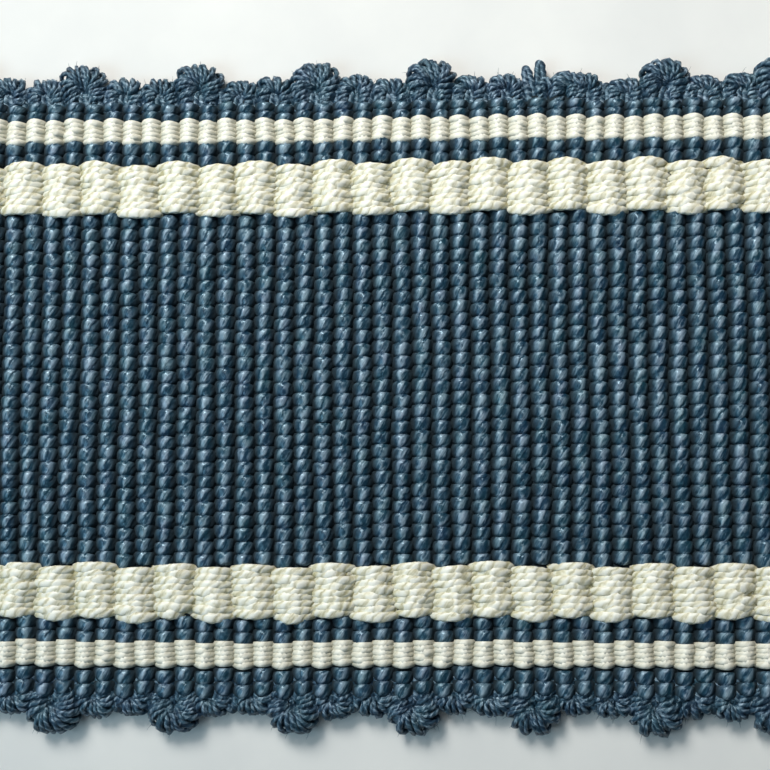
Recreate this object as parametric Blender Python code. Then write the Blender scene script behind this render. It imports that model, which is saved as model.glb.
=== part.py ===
"""A cut length of ribbed woven trim with picot edges, lying flat on its back.

Metres, +Z up. X runs along the trim, Y across it, and the back rests on z = 0.
The trim is woven in one piece: its thick weft turns back on itself at both edges,
and those turns stand out as the picots. So the whole trim is one closed solid.
"""

import math
from collections import namedtuple

import bmesh
import bpy

MM = 0.001

# The weave along the trim
RIB_PITCH = 1.6 * MM
RIBS = 54
STATIONS_PER_RIB = 4
LENGTH = RIBS * RIB_PITCH

# The stripes across the trim, from its middle outwards
CENTRE_NAVY = 14.35 * MM
WIDE_CREAM = 4.1 * MM
INNER_NAVY = 1.95 * MM
NARROW_CREAM = 1.83 * MM
EDGE_NAVY = 2.07 * MM

# Heights above the surface that the trim lies on
RIB_TOP = 1.9 * MM
RIB_GROOVE = 1.4 * MM
LUMP_TOP = 2.2 * MM
LUMP_GROOVE = 1.5 * MM
BACK_GROOVE = 0.4 * MM
RIB_ROUNDNESS = 0.6
LUMP_ROUNDNESS = 0.5

# A cream lump covers two ribs, and its edge slopes up from the navy within this width.
LUMP_SLOPE = 0.45 * MM
LUMP_SHIFT = 0.16 * MM

# The picots: each is the turn of the weft between two ribs, and every third one is large.
PicotEdge = namedtuple("PicotEdge", "side first_rib large_at small large valley")
UPPER_EDGE = PicotEdge(
    side=1, first_rib=0, large_at=2, small=1.75 * MM, large=3.0 * MM, valley=0.8 * MM
)
LOWER_EDGE = PicotEdge(
    side=-1, first_rib=1, large_at=1, small=2.1 * MM, large=3.5 * MM, valley=1.3 * MM
)
PICOT_REPEAT = 3
PICOT_ROUNDNESS = 0.45
PICOT_UNEVEN = 0.1

# One picot of the upper edge has come loose, so it is lower than its large neighbours.
LOOSE_PICOT = 17
LOOSE_HEIGHT = 2.6 * MM

# The picots' rounded rim: each line's share of the way from the body to the tip, and its height
RIM_SHOULDER = (0.5, 1.7 * MM)
RIM_BROW = (0.9, 1.35 * MM)
RIM_TIP = (1.0, 0.9 * MM)
RIM_FOOT = (0.8, 0.25 * MM)

# Lines along the upper face: distance from the middle, whether it carries the lumps'
# height and whether it follows their sideways shift, and the yarn between it and the next.
FaceLine = namedtuple("FaceLine", "reach lumpy shifted yarn")

CREAM_START = CENTRE_NAVY
CREAM_END = CREAM_START + WIDE_CREAM
NARROW_START = CREAM_END + INNER_NAVY
NARROW_END = NARROW_START + NARROW_CREAM
BODY_EDGE = NARROW_END + EDGE_NAVY

NAVY, CREAM = 0, 1
FACE_LINES = [
    FaceLine(reach=CREAM_START, lumpy=False, shifted=True, yarn=CREAM),
    FaceLine(reach=CREAM_START + LUMP_SLOPE, lumpy=True, shifted=True, yarn=CREAM),
    FaceLine(reach=CREAM_END - LUMP_SLOPE, lumpy=True, shifted=True, yarn=CREAM),
    FaceLine(reach=CREAM_END, lumpy=False, shifted=True, yarn=NAVY),
    FaceLine(reach=NARROW_START, lumpy=False, shifted=False, yarn=CREAM),
    FaceLine(reach=NARROW_END, lumpy=False, shifted=False, yarn=NAVY),
    FaceLine(reach=BODY_EDGE, lumpy=False, shifted=False, yarn=NAVY),
]

# The lower picots are the longer ones, so the body lies off the middle of the whole width.
BODY_MIDDLE = (LOWER_EDGE.large - UPPER_EDGE.large) / 2

# Base colour, roughness and metallic value of each yarn
YARNS = [
    ("navy_yarn", (0.045, 0.085, 0.135, 1.0), 0.6, 0.0),
    ("cream_yarn", (0.72, 0.69, 0.52, 1.0), 0.55, 0.0),
]


def clear_scene():
    for obj in list(bpy.data.objects):
        bpy.data.objects.remove(obj)


def arch(share, roundness):
    """0 at both ends of a rib, lump or picot, and 1 in its middle."""
    return max(0.0, math.sin(math.pi * share)) ** roundness


def rib_height(along):
    """Height of the upper face over the ribs. along counts ribs from the left end."""
    return RIB_GROOVE + (RIB_TOP - RIB_GROOVE) * arch(along % 1, RIB_ROUNDNESS)


def lump_height(along):
    """Height of a wide cream stripe, whose yarns pass over two ribs at a time."""
    share = ((along - 1) / 2) % 1
    return LUMP_GROOVE + (LUMP_TOP - LUMP_GROOVE) * arch(share, LUMP_ROUNDNESS)


def lump_shift(along):
    """Neighbouring lumps show different yarns, so they lie a little up and down."""
    lump = math.floor((along - 1) / 2)
    share = ((along - 1) / 2) % 1
    way = 1 if lump % 2 else -1
    return way * LUMP_SHIFT * arch(share, LUMP_ROUNDNESS)


def back_height(along):
    """The back is ribbed too. Its crests are flat where they lie on the surface."""
    in_groove = along % 1 == 0
    return BACK_GROOVE if in_groove else 0.0


def picot_height(edge, turn):
    """Height of one turn of the weft past the body's edge."""
    if edge is UPPER_EDGE and turn == LOOSE_PICOT:
        return LOOSE_HEIGHT
    if turn % PICOT_REPEAT == edge.large_at:
        return edge.large
    wave = math.sin(2.4 * turn + 1.3 * edge.side)
    return edge.small * (1 + PICOT_UNEVEN * wave)


def picot_reach(edge, along):
    """How far the picots stand out past the body's edge."""
    from_first = along - edge.first_rib
    last_whole = RIBS - (RIBS - edge.first_rib) % 2
    if from_first < 0 or along > last_whole:
        # The weft was cut here, so only a short end of it is left beside the rib.
        return edge.valley
    turn = min(int(from_first // 2), (last_whole - edge.first_rib) // 2 - 1)
    share = from_first / 2 - turn
    height = picot_height(edge, turn)
    return edge.valley + (height - edge.valley) * arch(share, PICOT_ROUNDNESS)


def rim_points(edge, along):
    """The picots' rim at one station, from the upper face round to the back."""
    reach = picot_reach(edge, along)
    points = []
    for share, height in (RIM_SHOULDER, RIM_BROW, RIM_TIP, RIM_FOOT):
        points.append((edge.side * (BODY_EDGE + share * reach), height, NAVY))
    return points


def face_points(side, along):
    """One half of the upper face at one station, from the middle outwards."""
    points = []
    for line in FACE_LINES:
        height = lump_height(along) if line.lumpy else rib_height(along)
        shift = lump_shift(along) if line.shifted else 0.0
        points.append((side * line.reach + shift, height, line.yarn))
    return points


def section(along):
    """The closed outline of the trim across one station, as (y, z, yarn) points.

    It runs over the upper face from the lower edge to the upper one, and back underneath.
    The yarn is that of the strip between a point and the next one.
    """
    lower_face = face_points(-1, along)[::-1]
    # Seen in this order, each strip's yarn belongs to the line further from the middle.
    yarns = [point[2] for point in lower_face[1:]] + [NAVY]
    lower_face = [(y, z, yarn) for (y, z, _), yarn in zip(lower_face, yarns)]
    upper_face = face_points(1, along)
    back = back_height(along)
    outline = rim_points(LOWER_EDGE, along)[::-1]
    outline += lower_face + upper_face
    outline += rim_points(UPPER_EDGE, along)
    outline += [(BODY_EDGE, back, NAVY), (-BODY_EDGE, back, NAVY)]
    return [(y + BODY_MIDDLE, z, yarn) for y, z, yarn in outline]


def build_trim():
    """Lofts the sections along the trim into one closed mesh and caps its cut ends."""
    mesh = bpy.data.meshes.new("woven_trim")
    work = bmesh.new()
    stations = RIBS * STATIONS_PER_RIB + 1
    rings = []
    yarns = []
    for station in range(stations):
        along = station / STATIONS_PER_RIB
        x = along * RIB_PITCH - LENGTH / 2
        outline = section(along)
        rings.append([work.verts.new((x, y, z)) for y, z, _ in outline])
        yarns = [yarn for _, _, yarn in outline]
    count = len(yarns)
    for left, right in zip(rings, rings[1:]):
        for at in range(count):
            following = (at + 1) % count
            face = work.faces.new((left[at], right[at], right[following], left[following]))
            face.material_index = yarns[at]
    work.faces.new(rings[0])
    work.faces.new(rings[-1][::-1])
    bmesh.ops.recalc_face_normals(work, faces=work.faces)
    work.to_mesh(mesh)
    work.free()
    return mesh


def yarn_material(name, colour, roughness, metallic):
    material = bpy.data.materials.new(name)
    material.use_nodes = True
    shader = material.node_tree.nodes["Principled BSDF"]
    shader.inputs["Base Color"].default_value = colour
    shader.inputs["Roughness"].default_value = roughness
    shader.inputs["Metallic"].default_value = metallic
    return material


def main():
    clear_scene()
    mesh = build_trim()
    for yarn in YARNS:
        mesh.materials.append(yarn_material(*yarn))
    mesh.shade_smooth()
    mesh.set_sharp_from_angle(angle=math.radians(50))
    trim = bpy.data.objects.new("woven_trim", mesh)
    bpy.context.scene.collection.objects.link(trim)


main()
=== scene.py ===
"""Looks of a cut length of ribbed woven trim, yarn by yarn, in metres and with +Z up.

X runs along the trim and Y across it. Every warp yarn is a tube that runs the whole length,
over one thick weft, or two in the wide stripes, and under the next. The weft's turns at both
edges are the picots.
"""

import math
from collections import namedtuple

import bpy
import numpy as np
from mathutils import Matrix, Vector


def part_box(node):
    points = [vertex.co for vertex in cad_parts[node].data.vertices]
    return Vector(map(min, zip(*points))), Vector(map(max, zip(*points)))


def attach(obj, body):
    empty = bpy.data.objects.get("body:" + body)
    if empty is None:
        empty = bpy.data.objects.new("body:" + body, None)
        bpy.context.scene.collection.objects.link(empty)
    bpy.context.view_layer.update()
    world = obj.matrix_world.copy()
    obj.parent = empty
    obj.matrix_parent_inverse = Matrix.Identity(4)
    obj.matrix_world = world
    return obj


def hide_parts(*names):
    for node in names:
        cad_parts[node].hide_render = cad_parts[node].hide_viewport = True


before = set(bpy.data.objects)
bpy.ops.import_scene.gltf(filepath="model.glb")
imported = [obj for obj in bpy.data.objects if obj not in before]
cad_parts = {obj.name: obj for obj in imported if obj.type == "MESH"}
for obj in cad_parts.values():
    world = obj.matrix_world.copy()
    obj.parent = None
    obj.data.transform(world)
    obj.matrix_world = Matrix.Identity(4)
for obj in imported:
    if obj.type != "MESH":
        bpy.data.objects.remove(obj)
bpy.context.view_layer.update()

MM = 0.001
IMAGE_SIZE = 770

# The weave along the trim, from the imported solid's box
RIBS = 54
TRIM_LOW, TRIM_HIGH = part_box("woven_trim")
LEFT_END = TRIM_LOW.x
LENGTH = TRIM_HIGH.x - TRIM_LOW.x
RIB_PITCH = LENGTH / RIBS

# The stripes across the trim, from its middle outwards
CENTRE_NAVY = 14.35 * MM
WIDE_CREAM = 4.1 * MM
INNER_NAVY = 1.95 * MM
NARROW_CREAM = 1.83 * MM
EDGE_NAVY = 2.07 * MM
CREAM_START = CENTRE_NAVY
CREAM_END = CREAM_START + WIDE_CREAM
NARROW_START = CREAM_END + INNER_NAVY
NARROW_END = NARROW_START + NARROW_CREAM
BODY_EDGE = NARROW_END + EDGE_NAVY

# The picots: each is the turn of the weft between two ribs, and every third one is large.
# rows_from and rows_to are where the outer navy rows start and end past the narrow stripe.
PicotEdge = namedtuple(
    "PicotEdge", "name side first_rib large_at small large valley rows_from rows_to"
)
UPPER_EDGE = PicotEdge(
    "upper", side=1, first_rib=0, large_at=2, small=1.75 * MM, large=3.0 * MM,
    valley=1.0 * MM, rows_from=0.0, rows_to=1.44 * MM,
)
LOWER_EDGE = PicotEdge(
    "lower", side=-1, first_rib=1, large_at=1, small=2.1 * MM, large=3.5 * MM,
    valley=1.7 * MM, rows_from=0.27 * MM, rows_to=2.38 * MM,
)
PICOT_REPEAT = 3

# The lower picots are the longer ones, so the body lies off the middle of the whole width.
BODY_MIDDLE = 0.25 * MM

# Heights above z = 0, where the trim's underside lies
BODY_TOP = 1.9 * MM
MID_HEIGHT = BODY_TOP / 2

# How the yarns of one kind lie. half_width, half_depth and shift hold on a rib's crest, and
# cross_width, cross_depth and cross_shift where a yarn crosses the other yarn of its pair.
# shift is how far the two yarns of a pair lie from the pair's middle. Widths and shifts are
# shares of the pitch of the pairs.
# top is the height that the yarn's upper side reaches.
# gather draws the yarns of a run together where they cross, which makes its lumps bulge.
# roundness shapes the way up from the crossing: below 1 a yarn rises faster.
# ragged is how far, in ribs, the places where the pairs cross stray from the groove.
# tilt is how much higher the side towards the upper edge lies, for each unit of width.
# lobes is how far the plies stand out, and twist the length in which they turn once.
# sides and steps are the points round the yarn and the stations along it for each rib.
Yarn = namedtuple(
    "Yarn",
    "slot finish ribs_over top half_width half_depth cross_width cross_depth"
    " shift cross_shift gather roundness ragged tilt plies lobes twist sides steps",
)
NAVY_YARN = Yarn(
    slot="navy_yarn", finish="navy", ribs_over=1, top=BODY_TOP,
    half_width=0.56, half_depth=0.24 * MM, cross_width=0.34, cross_depth=0.22 * MM,
    shift=0.11, cross_shift=0.245, gather=0.0, roundness=1.1, ragged=0.025, tilt=0.1,
    plies=2, lobes=0.05, twist=1.7 * MM, sides=8, steps=6,
)
NARROW_YARN = Yarn(
    slot="cream_yarn", finish="fine_cream", ribs_over=1, top=BODY_TOP,
    half_width=0.88, half_depth=0.11 * MM, cross_width=0.4, cross_depth=0.38 * MM,
    shift=0.245, cross_shift=0.245, gather=0.0, roundness=0.95, ragged=0.03, tilt=0.05,
    plies=2, lobes=0, twist=1.3 * MM, sides=6, steps=6,
)
WIDE_YARN = Yarn(
    slot="cream_yarn", finish="cream", ribs_over=2, top=2.2 * MM,
    half_width=0.85, half_depth=0.15 * MM, cross_width=0.36, cross_depth=0.5 * MM,
    shift=0.3, cross_shift=0.25, gather=0.05, roundness=0.85, ragged=0.11, tilt=0.1,
    plies=2, lobes=0.09, twist=1.8 * MM, sides=7, steps=6,
)

# One run of yarn pairs side by side, between two distances from the trim's middle
Run = namedtuple("Run", "name yarn start end pairs")
RUNS = [
    Run("centre_low", NAVY_YARN, -CENTRE_NAVY, -CENTRE_NAVY / 3, 9),
    Run("centre_mid", NAVY_YARN, -CENTRE_NAVY / 3, CENTRE_NAVY / 3, 9),
    Run("centre_high", NAVY_YARN, CENTRE_NAVY / 3, CENTRE_NAVY, 9),
]
for edge in (LOWER_EDGE, UPPER_EDGE):
    for name, yarn, start, end, pairs in (
        ("wide_cream", WIDE_YARN, CREAM_START, CREAM_END, 8),
        ("inner_navy", NAVY_YARN, CREAM_END, NARROW_START, 2),
        ("narrow_cream", NARROW_YARN, NARROW_START, NARROW_END, 5),
        ("edge_navy", NAVY_YARN, NARROW_END + edge.rows_from, NARROW_END + edge.rows_to, 2),
    ):
        RUNS.append(Run(f"{name}_{edge.name}", yarn, edge.side * start, edge.side * end, pairs))

# The middle, in ribs from the left end, of one double rib over which the wide stripes' yarns
# that lie nearer the lower edge pass
LOW_LUMP_MIDDLE = 26

SEED = 11

# How far ragged yarns sway sideways, for each rib of raggedness, and how much widths vary.
SWAY = 0.35 * MM
UNEVEN_WIDTH = 0.03

# How far past the cut, in ribs, a yarn's end may stand. A negative one stops short of it.
FRAY = (-0.05, 0.3)

# Below 1, the yarns' sections are flat on top with round shoulders.
SECTION_POWER = 0.8

# Below 1, a yarn is at its full width over more of a rib.
CREST_POWER = 0.4

# The cloth's own slow waves. Each moves the points along one axis (0 is X and 1 is Y), by
# size in mm. along and across are its radians for each mm of X and Y.
Wave = namedtuple("Wave", "axis size along across start")
WAVES = [
    Wave(axis=0, size=0.05, along=0.23, across=0.31, start=0),
    Wave(axis=0, size=0.03, along=-0.4, across=0.83, start=1),
    Wave(axis=1, size=0.06, along=0.17, across=0, start=0.5),
    Wave(axis=1, size=0.03, along=0.53, across=-0.2, start=0),
]


def uneven(points):
    """Moves every yarn and picot by the same small waves."""
    x, y = points[..., 0] / MM, points[..., 1] / MM
    moved = points.copy()
    for wave in WAVES:
        angle = wave.along * x + wave.across * y + wave.start
        moved[..., wave.axis] += MM * wave.size * np.sin(angle)
    return moved


def flattened(wave):
    """Turns a circle's sine or cosine into that of a rounded square."""
    return np.sign(wave) * np.abs(wave) ** SECTION_POWER


def tube_rings(centres, side_way, half_width, half_depth, phase, plies, lobes, sides, tilt=0):
    """Rings of points around centrelines, whose arrays have the axes tube, station, xyz.

    A yarn's section has a lobe for each ply. They turn with phase, counted in turns. tilt
    raises one side of the section, for each metre of width.
    """
    tangent = np.gradient(centres, axis=1)
    tangent /= np.linalg.norm(tangent, axis=-1, keepdims=True)
    across = side_way - (side_way * tangent).sum(-1, keepdims=True) * tangent
    across /= np.linalg.norm(across, axis=-1, keepdims=True)
    upward = np.cross(tangent, across)
    turn = (np.arange(sides) + 0.5) / sides
    angle = 2 * np.pi * turn
    swell = 1 + lobes * np.cos(2 * np.pi * plies * (turn + phase[..., None]))
    wide = (half_width[..., None] * flattened(np.cos(angle)) * swell)[..., None]
    deep = (half_depth[..., None] * flattened(np.sin(angle)) * swell)[..., None]
    deep += tilt * wide
    return centres[:, :, None, :] + wide * across[:, :, None, :] + deep * upward[:, :, None, :]


def lengths_along(centres):
    steps = np.linalg.norm(np.diff(centres, axis=1), axis=-1)
    return np.concatenate([np.zeros((len(steps), 1)), np.cumsum(steps, axis=1)], axis=1)


# In the strip map, the share of a tube's own strip, and of the map, that is left free
STRIP_MARGIN = 0.05
END_MARGIN = 0.01


def tube_mesh(name, rings, phase, lengths, tints, crests):
    """One mesh of closed tubes, with a map of each yarn's own turns and length, a map that
    has one strip for each tube, each tube's tint, and how near each station is to a crest."""
    tubes, stations, sides, _ = rings.shape
    index = np.arange(tubes * stations * sides).reshape(tubes, stations, sides)
    following = np.roll(index, -1, axis=2)
    quads = np.stack(
        [index[:, :-1], following[:, :-1], following[:, 1:], index[:, 1:]], axis=-1
    ).reshape(-1, 4)
    caps = np.concatenate([index[:, 0, ::-1], index[:, -1]])
    points = rings.reshape(-1, 3)
    # The underside is pressed flat on the surface that the trim lies on.
    points[:, 2] = np.clip(points[:, 2], 0, None)
    mesh = bpy.data.meshes.new(name)
    mesh.from_pydata(points, [], quads.tolist() + caps.tolist())
    mesh.shade_smooth()

    turn = np.arange(sides + 1) / sides
    around = turn[None, None, :] + phase[..., None]
    along = np.broadcast_to(lengths[..., None] / MM, around.shape)
    add_map(mesh, "Yarn", np.stack([around, along], axis=-1), caps)
    inside = STRIP_MARGIN + (1 - 2 * STRIP_MARGIN) * turn
    strip = (np.arange(tubes)[:, None, None] + inside) / tubes
    share = END_MARGIN + (1 - 2 * END_MARGIN) * lengths / lengths[:, -1:]
    strips = np.stack(np.broadcast_arrays(share[..., None], strip), axis=-1)
    add_map(mesh, "OFBake", strips, caps)

    add_value(mesh, "tint", np.repeat(tints, stations * sides))
    # How near each station is to a rib's crest, which the materials use to paint shade into the
    # grooves.
    add_value(mesh, "crest", np.repeat(crests, sides))
    return mesh


def add_value(mesh, name, values):
    """A number for each point of a mesh."""
    layer = mesh.attributes.new(name, "FLOAT", "POINT")
    layer.data.foreach_set("value", values.reshape(-1).astype(np.float32))


def add_map(mesh, name, grid, caps):
    """A UV map from a grid of values, with the axes tube, station, side and uv."""
    corners = [grid[:, :-1, :-1], grid[:, :-1, 1:], grid[:, 1:, 1:], grid[:, 1:, :-1]]
    quads = np.stack(corners, axis=3)
    starts = grid[:, 0, -2::-1]
    ends = grid[:, -1, :-1]
    flat = np.concatenate([quads.reshape(-1), starts.reshape(-1), ends.reshape(-1)])
    layer = mesh.uv_layers.new(name=name)
    layer.data.foreach_set("uv", flat.astype(np.float32))


def add_piece(name, mesh, material):
    piece = bpy.data.objects.new(name, mesh)
    bpy.context.scene.collection.objects.link(piece)
    mesh.materials.append(material)
    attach(piece, "root")
    return piece


def rib_jitter(random, tubes, along, amount):
    """A small random value for each rib of each yarn, blended between the ribs' crests."""
    values = random.normal(0, amount, (tubes, RIBS + 2))
    # Kept within the table's columns, so that there is always a next one
    place = np.clip(along + 0.5, 0, RIBS + 0.999)
    low = place.astype(int)
    share = place - low
    rows = np.arange(tubes)[:, None]
    return values[rows, low] * (1 - share) + values[rows, low + 1] * share


def warp_run(run, materials, random):
    """The yarns of one run. Two yarns make a pair: where one is on the face, the other is
    on the back, and they cross beside each other between two ribs."""
    yarn = run.yarn
    pitch = (run.end - run.start) / run.pairs
    pitch_size = abs(pitch)
    pair_middles = run.start + pitch * (np.arange(run.pairs) + 0.5)
    tubes = 2 * run.pairs
    middles = np.repeat(pair_middles, 2)[:, None]
    # The pair's upper yarn is on the face over the even ribs, or over every other double rib.
    upper = np.tile([1.0, -1.0], run.pairs)[:, None]

    stations = RIBS * yarn.steps + 1
    share = np.linspace(0, 1, stations)[None, :]
    fray = random.uniform(*FRAY, (2, tubes, 1))
    along = -fray[0] + share * (RIBS + fray[0] + fray[1])
    stray = rib_jitter(random, tubes, along, yarn.ragged)
    place = along + np.repeat(stray[::2], 2, axis=0)
    if yarn.ribs_over == 1:
        wave = upper * np.cos(np.pi * (place - 0.5))
    else:
        wave = -upper * np.cos(np.pi / 2 * (place - LOW_LUMP_MIDDLE))
    lift = np.sign(wave) * np.abs(wave) ** yarn.roundness
    crest = np.abs(wave) ** CREST_POWER

    centres = np.zeros((tubes, stations, 3))
    centres[..., 0] = LEFT_END + along * RIB_PITCH
    shift = pitch_size * (yarn.cross_shift + (yarn.shift - yarn.cross_shift) * crest)
    sway = rib_jitter(random, tubes, along, SWAY * yarn.ragged)
    run_middle = (run.start + run.end) / 2
    spread = (middles - run_middle) * (1 - yarn.gather * (1 - crest))
    centres[..., 1] = BODY_MIDDLE + run_middle + spread + upper * shift + sway
    middle = yarn.top / 2
    centres[..., 2] = middle + lift * (middle - yarn.half_depth)
    centres = uneven(centres)

    fullness = 1 + rib_jitter(random, tubes, along, UNEVEN_WIDTH + yarn.ragged / 2)
    half_width = yarn.cross_width + (yarn.half_width - yarn.cross_width) * crest
    half_width *= pitch_size * fullness
    half_depth = yarn.cross_depth + (yarn.half_depth - yarn.cross_depth) * crest
    lengths = lengths_along(centres)
    phase = lengths / yarn.twist + random.uniform(0, 1, (tubes, 1))
    rings = tube_rings(
        centres, np.array([0.0, 1.0, 0.0]), half_width, half_depth,
        phase, yarn.plies, yarn.lobes, yarn.sides, yarn.tilt,
    )
    tints = random.uniform(0, 1, tubes)
    mesh = tube_mesh(run.name, rings, phase, lengths, tints, np.abs(wave))
    return add_piece(run.name, mesh, materials[yarn.finish])


# The picots are arches of the weft, a hard-twisted cord of a few strands. middle is counted in
# ribs from the trim's left end, feet is how far the arch's feet stand from there, bulge is how
# far its sides stand out past them and lean how far its tip stands to one side. reach is
# measured from the body's edge, and radius is the cord's.
Arch = namedtuple("Arch", "middle feet bulge reach radius lean strands")
FEET = RIB_PITCH / 2

# An arch starts this far inside the body, where its cord is thin. SQUARENESS below 1 gives
# it a broad tip, and CORD_SWELL below 1 a cord that thickens soon after the foot.
LEG_INSET = 1.3 * MM
HIDDEN_RADIUS = 0.55 * MM
SQUARENESS = 0.62
CORD_SWELL = 0.5

# A cord is pressed flat to this share of its width. Its strands lie STRAND_SPACING apart.
PICOT_FLATNESS = 0.78
STRAND_SPACING = 0.37 * MM
STRAND_RADIUS = 0.21 * MM
STRAND_UNEVEN = (0.85, 1.2)
STRAND_STATIONS = 57
STRAND_SIDES = 6
STRAND_TWIST = 1.1 * MM
STRAND_PLIES = 2
STRAND_LOBES = 0.13

# The strands don't wind evenly: how far and how often they run ahead, in turns of the cord,
# and how far, as a share of its radius, and how often they stand out of it.
WOBBLE, WOBBLE_TURNS = 0.1, 0.6
WANDER, WANDER_TURNS = 0.06, 1.7

# The core is thinner than the cord by this many strand radii, but never below this share.
CORE_INSET = 1.6
LEAST_CORE = 0.4

# The two kinds of picot. Each one's middle, reach and lean are set by edge_arches.
LARGE = Arch(
    middle=0, feet=0.9 * MM, bulge=0.72 * MM, reach=0, radius=1.2 * MM, lean=0, strands=4
)
SMALL = Arch(middle=0, feet=FEET, bulge=0.42 * MM, reach=0, radius=0.85 * MM, lean=0, strands=3)

# A large picot has a second turn inside it, shorter by INNER_REACH.
INNER_REACH = 0.85 * MM
INNER_BULGE = 0.1 * MM
INNER_RADIUS = 0.8 * MM
INNER_STRANDS = 3

# How uneven the picots are: the range of a factor, or the usual size of a difference
BULGE_UNEVEN = (0.85, 1.15)
RADIUS_UNEVEN = (0.93, 1.06)
LARGE_UNEVEN = 0.06 * MM
SMALL_UNEVEN = 0.12 * MM
LEAN_UNEVEN = 0.16 * MM

# A short plain turn of the weft fills the valley between two picots, and a shorter one, by
# FILL_SHARE, the arch.
FILL_SHARE = 0.7
VALLEY_FEET = 0.3 * MM
VALLEY_RADIUS = 0.42 * MM

# One large picot of the upper edge has come loose: two of its yarns stand out by themselves
# beside two low arches of the others.
LOOSE_TURN = 17
LOOSE_ARCHES = [
    Arch(middle=34.8, feet=0.25 * MM, bulge=0.02 * MM, reach=2.9 * MM, radius=0.3 * MM,
         lean=-0.1 * MM, strands=1),
    Arch(middle=34.3, feet=0.25 * MM, bulge=0.02 * MM, reach=2.4 * MM, radius=0.3 * MM,
         lean=-0.45 * MM, strands=1),
    Arch(middle=35.1, feet=0.6 * MM, bulge=0.1 * MM, reach=1.5 * MM, radius=0.6 * MM,
         lean=0, strands=4),
    Arch(middle=36.1, feet=FEET, bulge=0.5 * MM, reach=2.0 * MM, radius=0.8 * MM,
         lean=0.3 * MM, strands=4),
]


def short_turn(arch, middle, reach):
    """A short plain turn of the weft, of one strand, made from another arch."""
    return arch._replace(
        middle=middle, feet=VALLEY_FEET, bulge=0, reach=reach, radius=VALLEY_RADIUS, strands=1
    )


def edge_arches(edge, random):
    """The arches of one edge, in order."""
    arches = []
    for turn in range((RIBS - edge.first_rib) // 2):
        if edge is UPPER_EDGE and turn == LOOSE_TURN:
            arches += LOOSE_ARCHES
            continue
        large = turn % PICOT_REPEAT == edge.large_at
        kind = LARGE if large else SMALL
        reach = edge.large if large else edge.small
        arch = kind._replace(
            middle=edge.first_rib + 2 * turn + 1,
            bulge=kind.bulge * random.uniform(*BULGE_UNEVEN),
            reach=reach + random.normal(0, LARGE_UNEVEN if large else SMALL_UNEVEN),
            radius=kind.radius * random.uniform(*RADIUS_UNEVEN),
            lean=random.normal(0, LEAN_UNEVEN),
        )
        arches.append(arch)
        arches.append(short_turn(arch, arch.middle, FILL_SHARE * edge.valley))
        arches.append(short_turn(arch, arch.middle + 1, edge.valley))
        if large:
            arches.append(arch._replace(
                bulge=INNER_BULGE, reach=arch.reach - INNER_REACH, radius=INNER_RADIUS,
                strands=INNER_STRANDS,
            ))
    if edge.first_rib:
        # The weft was cut at the first rib and the last, so a short end of it is left there.
        for middle in (0.5, RIBS - 0.5):
            arches.append(short_turn(SMALL, middle, FILL_SHARE * edge.valley))
    return arches


def arch_centre(edge, arch):
    """Centreline of one arch, from inside one rib round to inside the next."""
    t = np.linspace(0, 1, STRAND_STATIONS)
    rise = np.sin(np.pi * t)
    side = np.cos(np.pi * t)
    half = arch.feet + arch.bulge * rise
    points = np.zeros((STRAND_STATIONS, 3))
    points[:, 0] = LEFT_END + arch.middle * RIB_PITCH + arch.lean * rise
    points[:, 0] -= half * np.sign(side) * np.abs(side) ** SQUARENESS
    tip = LEG_INSET + arch.reach - arch.radius
    points[:, 1] = BODY_MIDDLE + edge.side * (BODY_EDGE - LEG_INSET + tip * rise ** SQUARENESS)
    points[:, 2] = MID_HEIGHT
    return points


def arch_strands(edge, arch, random):
    """Centrelines of the strands that wind round one arch's own, with their directions away
    from it and their thickness. A core fills the middle."""
    centre = arch_centre(edge, arch)
    rise = np.sin(np.linspace(0, np.pi, STRAND_STATIONS))
    tangent = np.gradient(centre, axis=0)
    tangent /= np.linalg.norm(tangent, axis=-1, keepdims=True)
    outward = np.cross(tangent, np.array([0.0, 0.0, 1.0]))
    outward /= np.linalg.norm(outward, axis=-1, keepdims=True)
    upward = np.cross(outward, tangent)
    turns = lengths_along(centre[None])[0] / (STRAND_SPACING * arch.strands)
    if arch.strands == 1:
        return [(centre, outward, np.full(STRAND_STATIONS, arch.radius))]
    cord = HIDDEN_RADIUS + (arch.radius - HIDDEN_RADIUS) * rise ** CORD_SWELL
    made = []
    start = random.uniform(0, 1)
    for number in range(arch.strands):
        wobble = WOBBLE * np.sin(2 * np.pi * (WOBBLE_TURNS * turns + random.uniform(0, 1)))
        angle = 2 * np.pi * (start + number / arch.strands + wobble - turns)
        away = outward * np.cos(angle)[:, None]
        away += upward * PICOT_FLATNESS * np.sin(angle)[:, None]
        wander = WANDER * np.sin(2 * np.pi * (WANDER_TURNS * turns + random.uniform(0, 1)))
        out = ((cord - STRAND_RADIUS) * (1 + wander))[:, None]
        thickness = np.full(STRAND_STATIONS, STRAND_RADIUS * random.uniform(*STRAND_UNEVEN))
        made.append((centre + away * out, away, thickness))
    core = PICOT_FLATNESS * np.maximum(cord - CORE_INSET * STRAND_RADIUS, LEAST_CORE * cord)
    made.append((centre, outward, core))
    return made


def picots(edge, material, random):
    """The picots along one edge, as one mesh of strands, and their loose fibre ends."""
    strands = []
    for arch in edge_arches(edge, random):
        strands += arch_strands(edge, arch, random)
    paths, away, thickness = (np.array(part) for part in zip(*strands))
    paths = uneven(paths)
    lengths = lengths_along(paths)
    phase = lengths / STRAND_TWIST + random.uniform(0, 1, (len(paths), 1))
    rings = tube_rings(
        paths, away, thickness, thickness, phase, STRAND_PLIES, STRAND_LOBES, STRAND_SIDES
    )
    name = f"picots_{edge.name}"
    crests = np.ones_like(lengths)
    mesh = tube_mesh(name, rings, phase, lengths, random.uniform(0, 1, len(paths)), crests)
    cords = add_piece(name, mesh, material)
    return [cords, hairs(edge, paths, away, thickness, material, random)]


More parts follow.
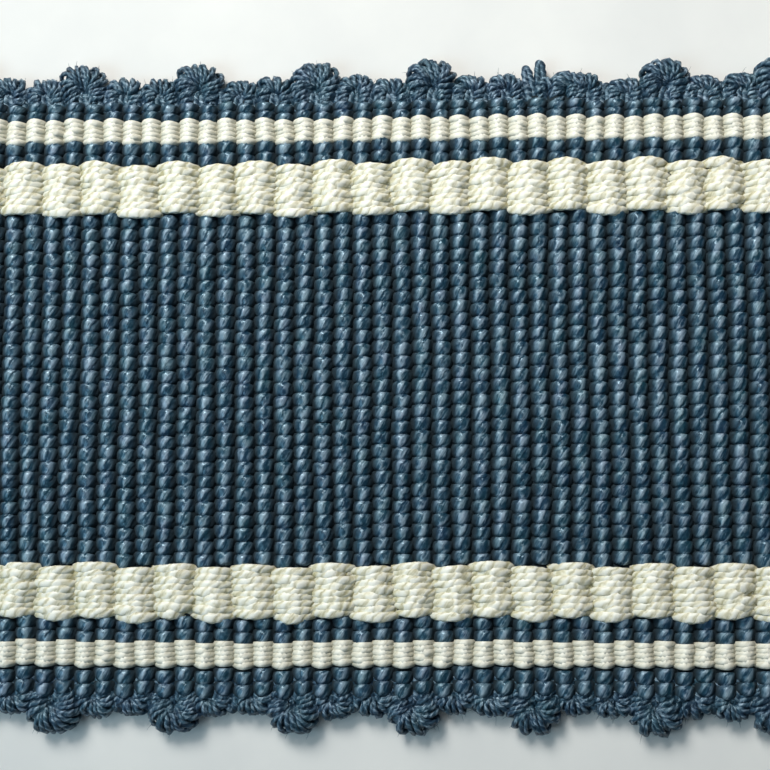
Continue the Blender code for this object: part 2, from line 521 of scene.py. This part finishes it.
# Loose fibre ends that stand out of the picots. HAIRS is their number on each edge.
HAIRS = 600
HAIR_STATIONS = 5
HAIR_SIDES = 3
HAIR_RADIUS = 0.022 * MM
HAIR_LENGTH = (0.12 * MM, 0.45 * MM)

# They start at stations in the middle three fifths of a strand.
HAIR_STARTS = (STRAND_STATIONS // 5, STRAND_STATIONS * 4 // 5)

# Each starts inside its strand, at HAIR_ROOT of the radius, narrows to HAIR_TIP, and bends
# over at random and away from the body. HAIR_SIDE only sets how its sides are turned.
HAIR_ROOT = 0.8
HAIR_TIP = 0.4
HAIR_BEND = 0.7
HAIR_LEAN = 0.6
HAIR_SIDE = (0.6, 0.3, 0.75)


def hairs(edge, paths, away, thickness, material, random):
    """Fine fibre ends on the outside of one edge's picots, bent over a little."""
    strand = random.integers(0, len(paths), HAIRS)
    station = random.integers(*HAIR_STARTS, HAIRS)
    outward = away[strand, station]
    root = paths[strand, station] + outward * thickness[strand, station][:, None] * HAIR_ROOT
    lean = random.normal(0, HAIR_BEND, (HAIRS, 3)) + np.array([0.0, HAIR_LEAN * edge.side, 0.0])
    length = random.uniform(*HAIR_LENGTH, HAIRS)[:, None, None]
    share = np.linspace(0, 1, HAIR_STATIONS)[None, :, None]
    bent = outward[:, None] * share + lean[:, None] * share ** 2 / 2
    centres = root[:, None] + length * bent
    centres[..., 2] = np.clip(centres[..., 2], 2 * HAIR_RADIUS, None)
    radius = HAIR_RADIUS * np.linspace(1, HAIR_TIP, HAIR_STATIONS) * np.ones((HAIRS, 1))
    lengths = lengths_along(centres)
    phase = np.zeros_like(lengths)
    rings = tube_rings(
        centres, np.array(HAIR_SIDE), radius, radius, phase, plies=1, lobes=0, sides=HAIR_SIDES
    )
    crests = np.ones_like(lengths)
    name = f"hairs_{edge.name}"
    mesh = tube_mesh(name, rings, phase, lengths, random.uniform(0, 1, HAIRS), crests)
    return add_piece(name, mesh, material)


# The wefts lie inside the yarns: a ribbed sheet stands for them. It is fuller in the lumps of
# the wide stripes. Its halves are measured up and down from the middle of the yarns' height.
WEFT_HALF = 0.4 * MM
WEFT_LUMP_HALF = 0.68 * MM
WEFT_GROOVE_HALF = 0.08 * MM
WEFT_FULLNESS = 0.7
WEFT_END_BRIGHTNESS = 0.85
WEFT_STEPS = 6
WEFT_MARGIN = 0.25 * MM


def weft_sheet(material):
    """The wefts' ribbed body, a closed sheet between the yarns of the face and the back."""
    stations = RIBS * WEFT_STEPS + 1
    along = np.linspace(0, RIBS, stations)[:, None]
    # Each column's distance from the middle, and whether it lies in the lumps of a wide stripe
    columns = [
        (CREAM_START, False), (CREAM_START + WEFT_MARGIN, True),
        (CREAM_END - WEFT_MARGIN, True), (CREAM_END, False), (BODY_EDGE - WEFT_MARGIN, False),
    ]
    columns = [(-reach, lumpy) for reach, lumpy in columns[::-1]] + columns
    across = np.array([reach for reach, _ in columns])[None, :]
    lumpy = np.array([lumpy for _, lumpy in columns])[None, :]
    ribs = (WEFT_HALF - WEFT_GROOVE_HALF) * np.abs(np.sin(np.pi * along)) ** WEFT_FULLNESS
    swell = np.abs(np.cos(np.pi / 2 * (along - LOW_LUMP_MIDDLE))) ** WEFT_FULLNESS
    lumps = (WEFT_LUMP_HALF - WEFT_GROOVE_HALF) * swell
    half = WEFT_GROOVE_HALF + np.where(lumpy, lumps, ribs)
    middle = np.where(lumpy, WIDE_YARN.top / 2, MID_HEIGHT)
    top = np.zeros((*half.shape, 3))
    top[..., 0] = LEFT_END + along * RIB_PITCH
    top[..., 1] = BODY_MIDDLE + across
    bottom = top.copy()
    top[..., 2] = middle + half
    bottom[..., 2] = middle - half
    wide = len(columns)
    shift = stations * wide
    # The top and the underside with the two long sides, and then the two ends
    faces = []
    for i in range(stations - 1):
        for j in range(wide - 1):
            a = i * wide + j
            b, c, d = a + wide, a + wide + 1, a + 1
            faces.append((a, b, c, d))
            faces.append((a + shift, d + shift, c + shift, b + shift))
        for j, order in ((0, 1), (wide - 1, -1)):
            a = i * wide + j
            b = a + wide
            faces.append((a, a + shift, b + shift, b)[::order])
    for i, order in ((0, -1), (stations - 1, 1)):
        for j in range(wide - 1):
            a = i * wide + j
            faces.append((a, a + shift, a + shift + 1, a + 1)[::order])
    mesh = bpy.data.meshes.new("weft_sheet")
    points = uneven(np.concatenate([top.reshape(-1, 3), bottom.reshape(-1, 3)]))
    mesh.from_pydata(points, [], faces)
    mesh.shade_smooth()
    # The wefts lie in the dark between the yarns, so they get painted shade all over, but for
    # their cut ends.
    crests = np.zeros((2, *half.shape))
    crests[:, [0, -1]] = WEFT_END_BRIGHTNESS
    add_value(mesh, "crest", crests)
    return add_piece("weft_sheet", mesh, material)


def node(tree, kind, **values):
    """A new node. Values name its properties, or its input sockets."""
    made = tree.nodes.new(kind)
    for name, value in values.items():
        if name in made.inputs:
            made.inputs[name].default_value = value
        else:
            setattr(made, name, value)
    return made


def math_node(tree, operation, *values):
    """Works something out from numbers and other nodes' outputs. Its output is given back."""
    made = node(tree, "ShaderNodeMath", operation=operation)
    for at, value in enumerate(values):
        if isinstance(value, (int, float)):
            made.inputs[at].default_value = value
        else:
            tree.links.new(value, made.inputs[at])
    return made.outputs[0]


def two_tones(tree, value, low, high):
    """A colour ramp over a value. low and high are a place on its scale and a colour."""
    ramp = node(tree, "ShaderNodeValToRGB")
    for element, (place, colour) in zip(ramp.color_ramp.elements, (low, high)):
        element.position = place
        element.color = colour
    tree.links.new(value, ramp.inputs["Fac"])
    return ramp


# How a yarn's tone is made up. It runs from dark through middle to light. base is where it
# starts, and plies, fibres and patches say how much each of these adds. The plies' part is a
# painted highlight on the middle of each ply and painted shade in the grooves between plies.
# groove is the part of its brightness that is left between two ribs, a painted shade, falloff is
# how fast it gets there and deepen how much stronger its colour is there, in the painted shade.
# hue is how far the hue wanders. bump is the depth of the plies and fibres.
Finish = namedtuple(
    "Finish",
    "dark middle light ply_count plies fibres patches base groove falloff deepen hue roughness ior"
    " specular specular_tint sheen sheen_tint bump",
)
NAVY_FINISH = Finish(
    dark=(0.002, 0.014, 0.034, 1), middle=(0.03, 0.072, 0.112, 1), light=(0.38, 0.49, 0.58, 1),
    ply_count=2, plies=0.3, fibres=0.9, patches=0.25, base=-0.25,
    groove=0.02, falloff=4.6, deepen=0.8, hue=0.07,
    roughness=0.17, ior=1.5, specular=1.0, specular_tint=(0.6, 0.84, 1, 1),
    sheen=0.0, sheen_tint=(0.6, 0.75, 0.9, 1), bump=0.09 * MM,
)
CREAM_FINISH = Finish(
    dark=(0.56, 0.52, 0.35, 1), middle=(0.88, 0.845, 0.68, 1), light=(0.99, 0.98, 0.88, 1),
    ply_count=2, plies=0.6, fibres=0.9, patches=0.25, base=-0.36,
    groove=0.58, falloff=0.8, deepen=0.6, hue=0.02,
    roughness=0.5, ior=1.5, specular=0.5, specular_tint=(1, 1, 1, 1),
    sheen=0.1, sheen_tint=(1, 0.98, 0.92, 1), bump=0.07 * MM,
)
PICOT_FINISH = NAVY_FINISH._replace(base=-0.56, fibres=1.2, roughness=0.45, bump=0.06 * MM)
FINE_CREAM_FINISH = CREAM_FINISH._replace(
    dark=(0.56, 0.53, 0.41, 1), middle=(0.87, 0.845, 0.73, 1),
    plies=0.2, fibres=0.6, base=-0.04, groove=0.5, falloff=1.5, bump=0.02 * MM,
)

# Fineness of the noise: of the patches and the hue for each metre, and of the fibres for
# each turn round a yarn, each mm along it and each unit of its tint
PATCH_SCALE = 900.0
HUE_SCALE = 620.0
FIBRE_SCALE = (14.0, 1.8, 91.0)

# How far the patches shift the plies, in radians, and how much a yarn's own tint counts
PLY_WANDER = 9.0
TINT_SHARE = 0.12

# Where the dark, middle and light colours lie on the tone's scale
DARK_AT, MIDDLE_AT, LIGHT_AT = 0.15, 0.45, 0.8

# Heights of the plies and fibres, as shares of the bump's depth. PLY_ROUNDNESS below 1
# makes the plies full, with narrow grooves between them.
PLY_HEIGHT = 0.6
PLY_ROUNDNESS = 0.6
FIBRE_HEIGHT = 0.5

SHEEN_ROUGHNESS = 0.5
GROOVE_ROUGHNESS = 0.95


def yarn_material(name, finish):
    """Spun two-ply yarn: ply grooves, fibres along the plies and a change of tone along it."""
    material = bpy.data.materials.new(name)
    material.use_nodes = True
    tree = material.node_tree
    link = tree.links.new
    shader = tree.nodes["Principled BSDF"]
    shader.inputs["IOR"].default_value = finish.ior
    shader.inputs["Sheen Weight"].default_value = finish.sheen
    shader.inputs["Sheen Roughness"].default_value = SHEEN_ROUGHNESS
    shader.inputs["Sheen Tint"].default_value = finish.sheen_tint
    shader.inputs["Specular IOR Level"].default_value = finish.specular
    shader.inputs["Specular Tint"].default_value = finish.specular_tint

    place = node(tree, "ShaderNodeUVMap", uv_map="Yarn")
    split = node(tree, "ShaderNodeSeparateXYZ")
    link(place.outputs["UV"], split.inputs[0])
    around, along = split.outputs["X"], split.outputs["Y"]
    tint = node(tree, "ShaderNodeAttribute", attribute_name="tint").outputs["Fac"]

    body = node(tree, "ShaderNodeTexCoord")
    patches = node(tree, "ShaderNodeTexNoise", Scale=PATCH_SCALE, Detail=2.0, Roughness=0.6)
    link(body.outputs["Object"], patches.inputs["Vector"])
    wander = node(tree, "ShaderNodeTexNoise", Scale=HUE_SCALE, Detail=1.0)
    link(body.outputs["Object"], wander.inputs["Vector"])

    # 1 in the middle of a ply and 0 in the groove beside it
    shifted = math_node(tree, "MULTIPLY", patches.outputs["Fac"], PLY_WANDER)
    angle = math_node(tree, "MULTIPLY_ADD", around, 2 * math.pi * finish.ply_count, shifted)
    ply = math_node(tree, "MULTIPLY_ADD", math_node(tree, "COSINE", angle), 0.5, 0.5)

    strand = node(tree, "ShaderNodeCombineXYZ")
    for at, source in enumerate((around, along, tint)):
        link(math_node(tree, "MULTIPLY", source, FIBRE_SCALE[at]), strand.inputs[at])
    fibres = node(tree, "ShaderNodeTexNoise", Scale=1.0, Detail=3.0, Roughness=0.6)
    link(strand.outputs[0], fibres.inputs["Vector"])

    # The plies add a painted highlight on the middle of each ply and painted shade in the grooves
    # between plies; the fibres and patches are the yarn's own random tone.
    tone = math_node(tree, "MULTIPLY_ADD", tint, TINT_SHARE, finish.base)
    for source, amount in (
        (ply, finish.plies),
        (fibres.outputs["Fac"], finish.fibres),
        (patches.outputs["Fac"], finish.patches),
    ):
        tone = math_node(tree, "ADD", tone, math_node(tree, "MULTIPLY", source, amount))
    ramp = two_tones(tree, tone, (DARK_AT, finish.dark), (LIGHT_AT, finish.light))
    ramp.color_ramp.elements.new(MIDDLE_AT).color = finish.middle

    wandering = wander.outputs["Fac"]
    hue = math_node(tree, "MULTIPLY_ADD", wandering, finish.hue, 0.5 - finish.hue / 2)
    # Painted shade: the colour grows darker, and its hue deeper, from a rib's crest down into the
    # grooves between ribs. The roughness rises towards the grooves too.
    crest = node(tree, "ShaderNodeAttribute", attribute_name="crest").outputs["Fac"]
    painted_shade_mask = math_node(tree, "POWER", crest, finish.falloff)
    shade = node(tree, "ShaderNodeHueSaturation")
    for groove, ridge, socket in (
        (finish.groove, 1, shade.inputs["Value"]),
        (1 + finish.deepen, 1, shade.inputs["Saturation"]),
        (GROOVE_ROUGHNESS, finish.roughness, shader.inputs["Roughness"]),
    ):
        link(math_node(tree, "MULTIPLY_ADD", painted_shade_mask, ridge - groove, groove), socket)
    link(hue, shade.inputs["Hue"])
    link(ramp.outputs["Color"], shade.inputs["Color"])
    link(shade.outputs["Color"], shader.inputs["Base Color"])

    full = math_node(tree, "POWER", ply, PLY_ROUNDNESS)
    height = math_node(tree, "MULTIPLY", fibres.outputs["Fac"], FIBRE_HEIGHT)
    height = math_node(tree, "MULTIPLY_ADD", full, PLY_HEIGHT, height)
    relief = node(tree, "ShaderNodeBump", Strength=1.0, Distance=finish.bump)
    link(height, relief.inputs["Height"])
    link(relief.outputs["Normal"], shader.inputs["Normal"])
    return material


def yarn_materials():
    finishes = {
        "navy": NAVY_FINISH, "picot": PICOT_FINISH,
        "cream": CREAM_FINISH, "fine_cream": FINE_CREAM_FINISH,
    }
    return {name: yarn_material(f"{name}_yarn", finish) for name, finish in finishes.items()}


# The floor lies a hair's breadth below the trim. Its two tones make soft clouds.
FLOOR_HALF = 0.4
FLOOR_DROP = 0.05 * MM
CLOUD_SCALE = 110.0
CLOUD_DARK = (0.3, (0.8, 0.8, 0.78, 1))
CLOUD_LIGHT = (0.7, (0.87, 0.865, 0.835, 1))
FLOOR_ROUGHNESS = 0.9
FLOOR_SPECULAR = 0.1


def floor():
    """A plain pale surface under the trim."""
    corners = [(-1, -1), (1, -1), (1, 1), (-1, 1)]
    corners = [(FLOOR_HALF * x, FLOOR_HALF * y, 0) for x, y in corners]
    mesh = bpy.data.meshes.new("floor")
    mesh.from_pydata(corners, [], [(0, 1, 2, 3)])
    piece = bpy.data.objects.new("floor", mesh)
    piece.location.z = -FLOOR_DROP
    bpy.context.scene.collection.objects.link(piece)
    material = bpy.data.materials.new("pale_floor")
    material.use_nodes = True
    tree = material.node_tree
    shader = tree.nodes["Principled BSDF"]
    shader.inputs["Roughness"].default_value = FLOOR_ROUGHNESS
    shader.inputs["Specular IOR Level"].default_value = FLOOR_SPECULAR
    body = node(tree, "ShaderNodeTexCoord")
    cloud = node(tree, "ShaderNodeTexNoise", Scale=CLOUD_SCALE, Detail=4.0)
    tree.links.new(body.outputs["Object"], cloud.inputs["Vector"])
    ramp = two_tones(tree, cloud.outputs["Fac"], CLOUD_DARK, CLOUD_LIGHT)
    tree.links.new(ramp.outputs["Color"], shader.inputs["Base Color"])
    mesh.materials.append(material)
    return piece


# The camera looks down at its target, from a little nearer to the trim's lower edge and to
# its right end. It is as far away as makes PIXELS_PER_MM true at the target.
SENSOR_WIDTH = 36
CLIP_START = 0.005
LENS_PIXELS = 1200
PIXELS_PER_MM = 12.375
TARGET = Vector((-0.57 * MM, BODY_MIDDLE + 0.19 * MM, BODY_TOP))
PITCH = math.radians(4.26)
YAW = math.radians(1.44)
ROLL = math.radians(-0.15)


def camera():
    data = bpy.data.cameras.new("camera")
    data.sensor_width = SENSOR_WIDTH
    data.lens = SENSOR_WIDTH * LENS_PIXELS / IMAGE_SIZE
    data.clip_start = CLIP_START
    made = bpy.data.objects.new("camera", data)
    bpy.context.scene.collection.objects.link(made)
    away = Vector((math.sin(YAW), -math.sin(PITCH), math.cos(PITCH) * math.cos(YAW))).normalized()
    right = Vector((0, 1, 0)).cross(away).normalized()
    up = away.cross(right)
    distance = LENS_PIXELS / PIXELS_PER_MM * MM
    turn = Matrix((right, up, away)).transposed().to_4x4() @ Matrix.Rotation(ROLL, 4, "Z")
    made.matrix_world = Matrix.Translation(TARGET + away * distance) @ turn
    bpy.context.scene.camera = made


# The lamps: a window and a brighter pane of it, both beyond the upper left, and the blue
# sky from the left. Each is a square of this size that shines from its place at its aim.
# spread is in degrees and power in watts.
DAYLIGHT = (1.0, 0.98, 0.94)
SKYLIGHT = (0.55, 0.83, 1.0)
Lamp = namedtuple("Lamp", "name place aim size spread power colour")
LAMPS = [
    Lamp("window", place=(-0.12, 0.19, 0.27), aim=(-0.01, 0.165, 0), size=0.26,
         spread=68, power=0.1, colour=DAYLIGHT),
    Lamp("pane", place=(-0.12, 0.24, 0.24), aim=(0, 0.06, 0), size=0.14,
         spread=60, power=0.168, colour=DAYLIGHT),
    Lamp("sky", place=(-0.15, -0.05, 0.15), aim=(0, 0.02, 0), size=0.12,
         spread=140, power=0.08, colour=SKYLIGHT),
]

# Soft light from all around, which the trim gets besides that of the lamps
ROOM_COLOUR = (0.7, 0.88, 1.0, 1)
ROOM_STRENGTH = 0.08


def lights():
    for lamp in LAMPS:
        data = bpy.data.lights.new(lamp.name, "AREA")
        data.size = lamp.size
        data.spread = math.radians(lamp.spread)
        data.energy = lamp.power
        data.color = lamp.colour
        made = bpy.data.objects.new(lamp.name, data)
        bpy.context.scene.collection.objects.link(made)
        made.location = lamp.place
        away = Vector(lamp.place) - Vector(lamp.aim)
        made.rotation_euler = away.to_track_quat("Z", "Y").to_euler()
    world = bpy.data.worlds.new("room")
    world.use_nodes = True
    back = world.node_tree.nodes["Background"]
    back.inputs["Color"].default_value = ROOM_COLOUR
    back.inputs["Strength"].default_value = ROOM_STRENGTH
    bpy.context.scene.world = world


def main():
    random = np.random.default_rng(SEED)
    camera()
    materials = yarn_materials()
    parts = [warp_run(run, materials, random) for run in RUNS]
    for edge in (UPPER_EDGE, LOWER_EDGE):
        parts += picots(edge, materials["picot"], random)
    weft = weft_sheet(materials["navy"])
    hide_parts("woven_trim")
    ground = floor()
    lights()
    bpy.context.scene.view_settings.view_transform = "Standard"


main()
